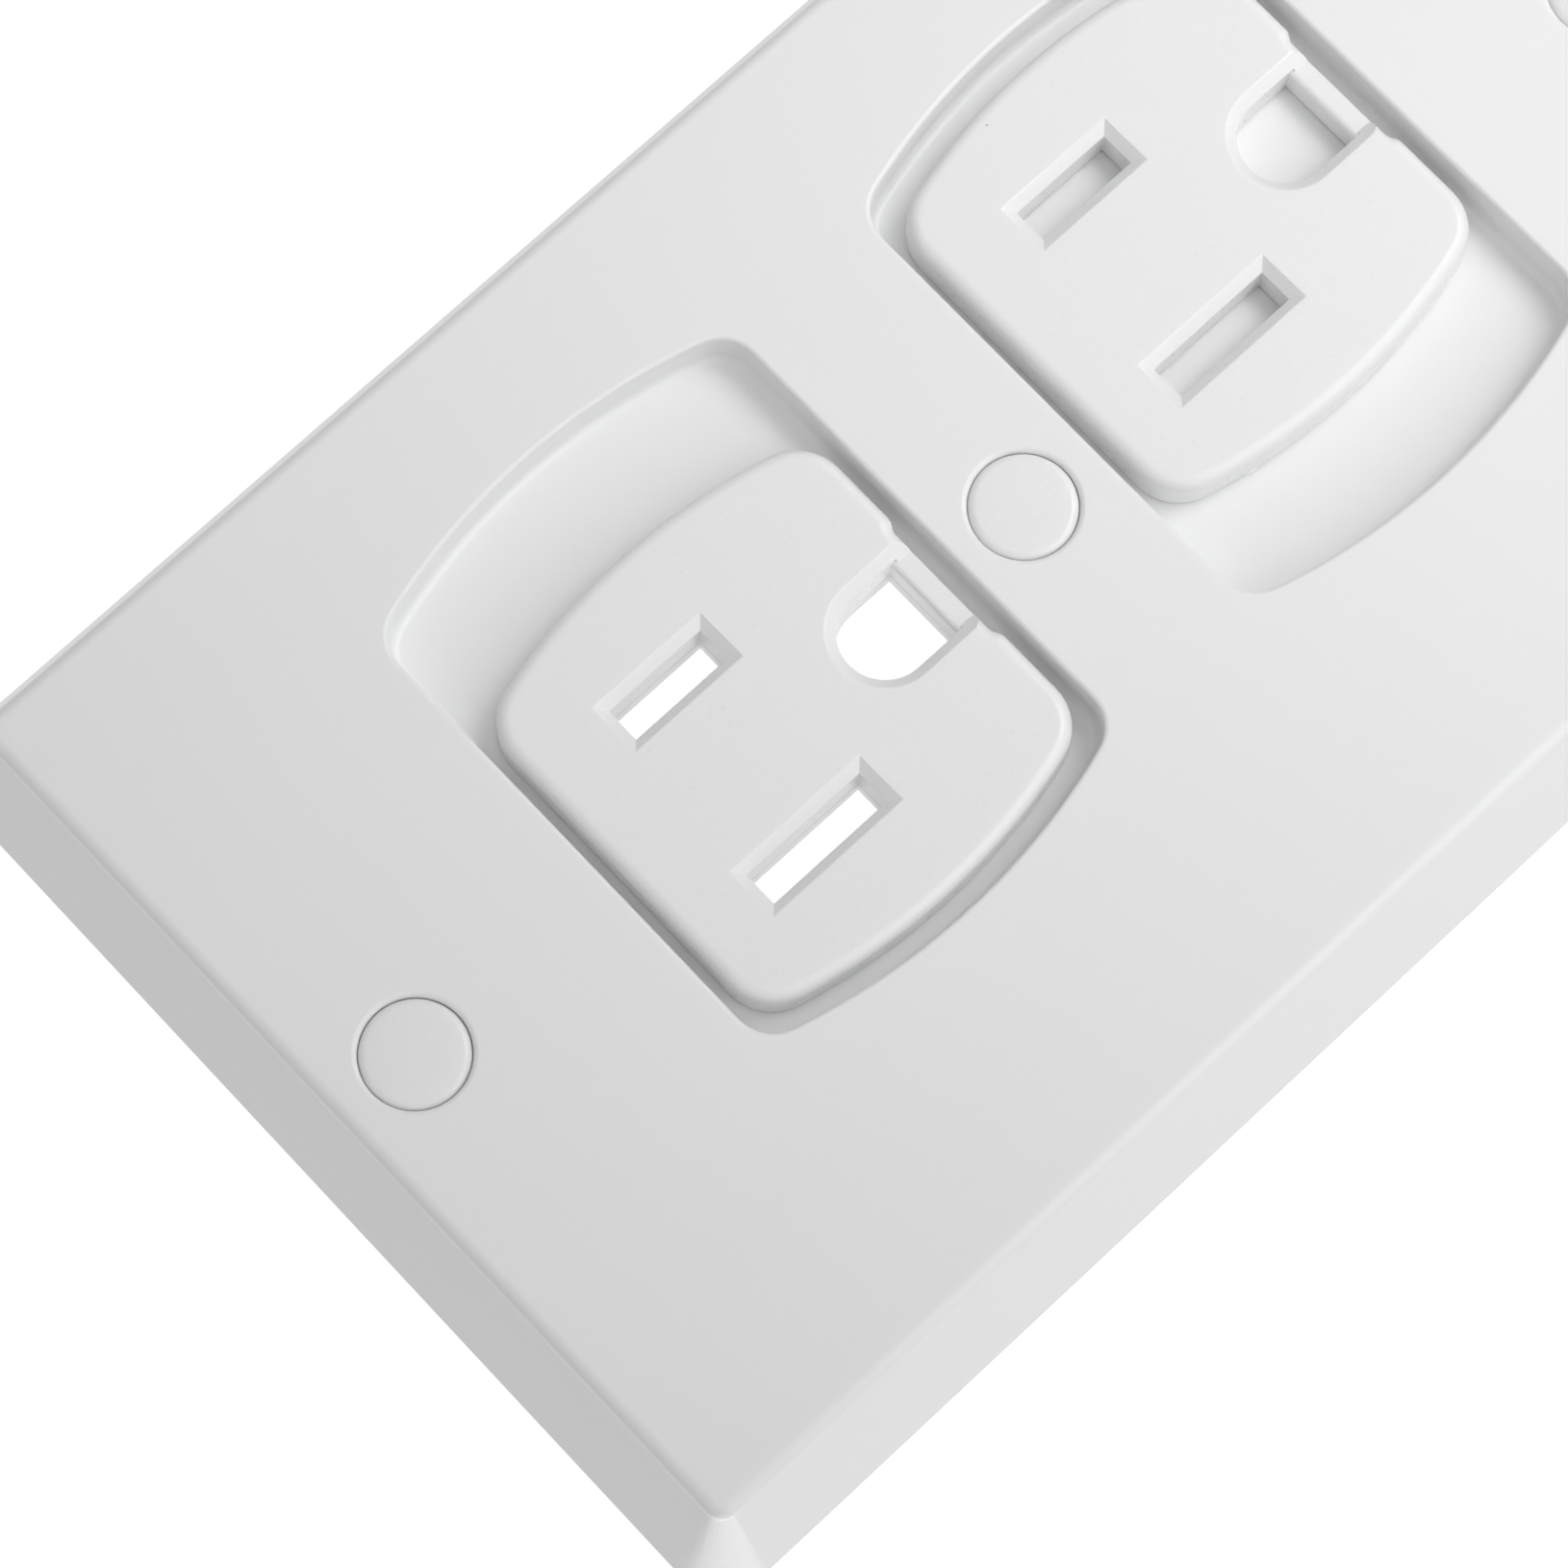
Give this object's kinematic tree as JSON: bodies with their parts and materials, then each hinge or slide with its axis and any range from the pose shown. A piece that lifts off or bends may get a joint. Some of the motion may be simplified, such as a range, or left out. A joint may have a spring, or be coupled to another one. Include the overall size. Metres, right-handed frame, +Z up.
{
  "type": "outlet safety cover",
  "caption": "Duplex outlet safety cover: a raised white face plate with sliding, spring-loaded shutters over the plug slots, and flush caps over its screw holes.",
  "frame": {"origin": "on the wall plane behind the cover, on the axis of the centre screw", "axes": "+Z up as the cover hangs, +Y into the wall, +X to the right as seen from the room; the face looks towards -Y"},
  "size_m": [0.0694, 0.0095, 0.1138],
  "materials": {
    "plate_plastic": "satin moulded white",
    "shutter_plastic": "satin moulded white",
    "cap_plastic": "satin moulded white",
    "keeper_plastic": "matte moulded white",
    "screw_steel": "zinc plated",
    "spring_steel": "drawn spring wire"
  },
  "bodies": {
    "plate": {"face_plate": "plate_plastic", "top_screw_cap": "cap_plastic", "centre_screw_cap": "cap_plastic", "bottom_screw_cap": "cap_plastic", "upper_return_spring": "spring_steel", "lower_return_spring": "spring_steel"},
    "upper_slider": {"upper_shutter": "shutter_plastic", "upper_keeper": "keeper_plastic", "upper_keeper_screws": "screw_steel"},
    "lower_slider": {"lower_shutter": "shutter_plastic", "lower_keeper": "keeper_plastic", "lower_keeper_screws": "screw_steel"}
  },
  "joints": [
    {"name": "upper_shutter_slide", "type": "slide", "parent": "plate", "child": "upper_slider", "axis": [1, 0, 0], "range_m": [0, 0.00615], "stiffness_N_per_m": 120, "springref_m": 0.0102, "deforming": ["upper_return_spring"]},
    {"name": "lower_shutter_slide", "type": "slide", "parent": "plate", "child": "lower_slider", "axis": [-1, 0, 0], "range_m": [0, 0.00615], "stiffness_N_per_m": 120, "springref_m": -0.004, "deforming": ["lower_return_spring"]}
  ]
}
